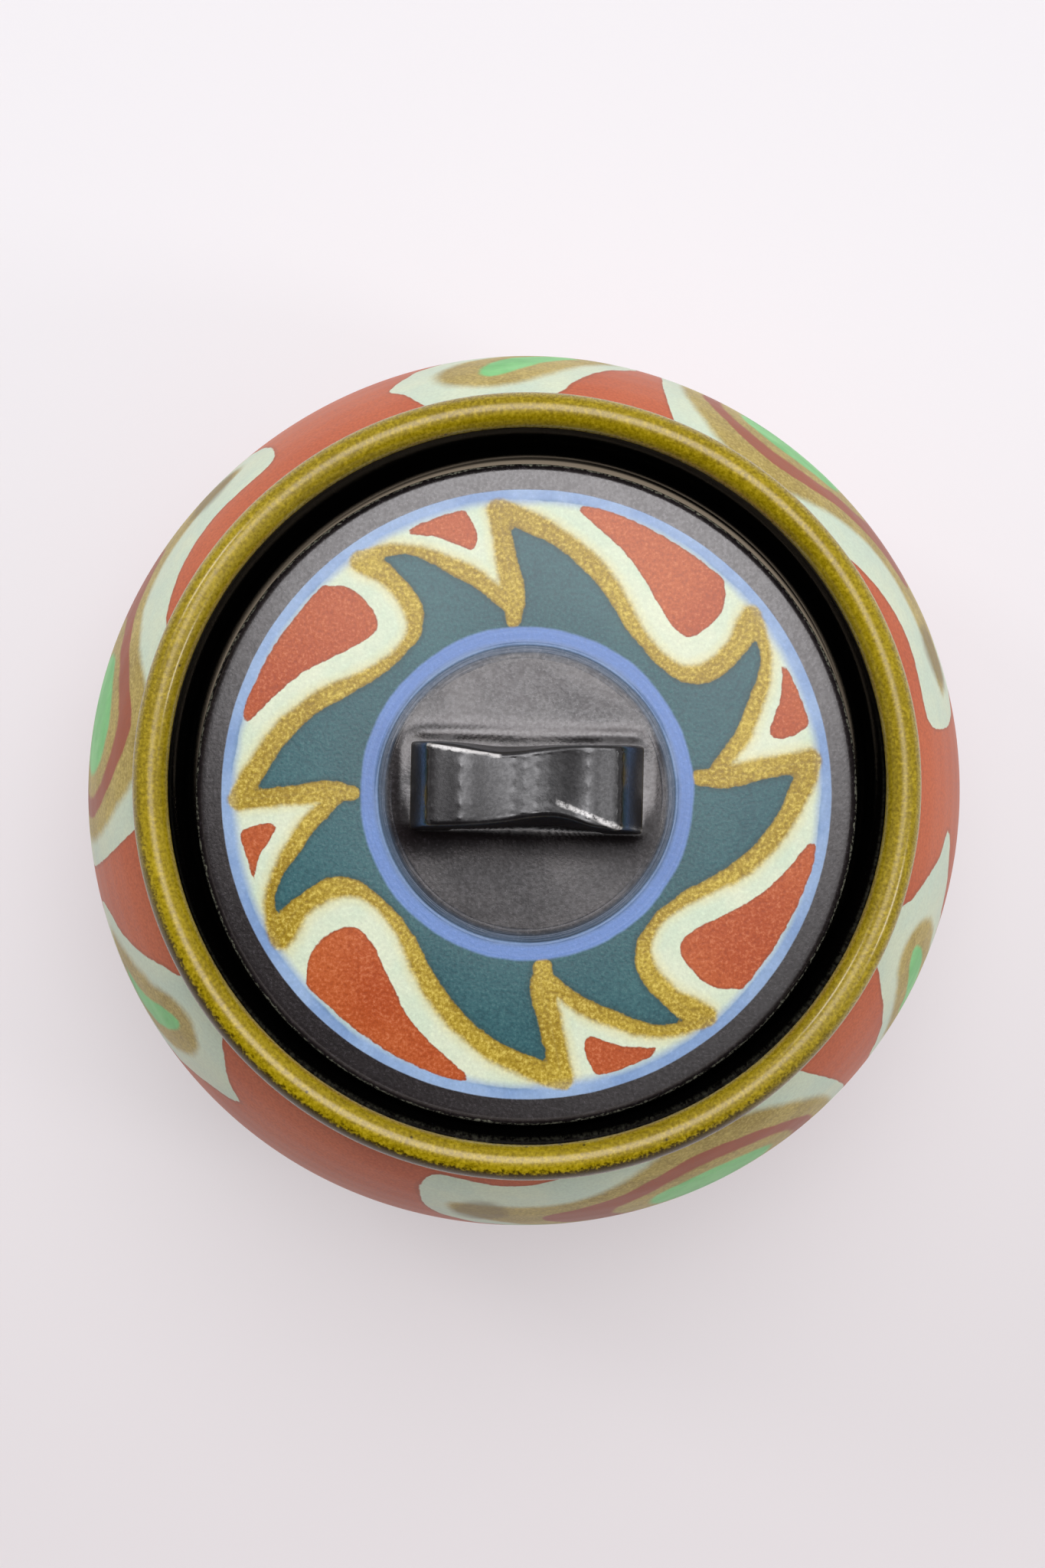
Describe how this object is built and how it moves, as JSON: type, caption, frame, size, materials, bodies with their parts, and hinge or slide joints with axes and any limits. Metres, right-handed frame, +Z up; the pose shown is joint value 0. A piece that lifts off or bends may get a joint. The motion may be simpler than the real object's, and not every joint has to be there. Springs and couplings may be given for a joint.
{
  "type": "lidded ceramic jar",
  "caption": "Squat round glazed earthenware jar with a rolled rim, a sunken lift-off lid and a bridge handle on the lid.",
  "frame": {"origin": "centre of the foot ring's resting face, on the jar's own axis", "axes": "+Z up through the lid, +X along the long way of the bridge handle, +Y away from the viewer"},
  "size_m": [0.13, 0.13, 0.0924],
  "materials": {
    "painted_glaze": "satin painted glaze over buff earthenware, black glaze inside, olive glaze on the rim",
    "lid_glaze": "satin painted glaze, charcoal band and pad, unglazed edge and seat",
    "black_glaze": "glossy black glaze"
  },
  "bodies": {
    "jar": {"pot": "painted_glaze"},
    "lid": {"lid": "lid_glaze", "lid_handle": "black_glaze"}
  },
  "joints": [
    {"name": "lid_lift", "type": "slide", "parent": "jar", "child": "lid", "axis": [0, 0, 1], "range_m": [0, 0.06]}
  ]
}
